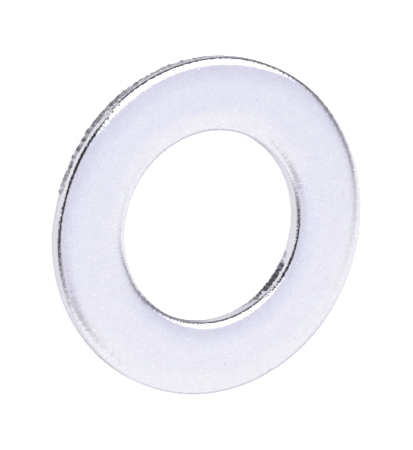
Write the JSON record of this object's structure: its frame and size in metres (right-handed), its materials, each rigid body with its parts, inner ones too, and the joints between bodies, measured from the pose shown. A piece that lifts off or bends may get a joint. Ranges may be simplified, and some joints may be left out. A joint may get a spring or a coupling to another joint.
{
  "type": "flat washer",
  "caption": "Flat round washer with a plain clearance bore, softly rolled edges on its upper face and square broken edges on its lower face; spreads the load under a bolt head or nut.",
  "frame": {"origin": "on the bore's axis, in the plane of the lower flat face", "axes": "+Z along the bore's axis, from the lower face with broken edges to the upper face with rolled edges; X and Y are free, because the washer is round"},
  "size_m": [0.037, 0.037, 0.002],
  "materials": {
    "zinc_plate": "bright zinc plate on steel, clear passivated, tumbled"
  },
  "bodies": {
    "root": {"washer": "zinc_plate"}
  },
  "joints": []
}
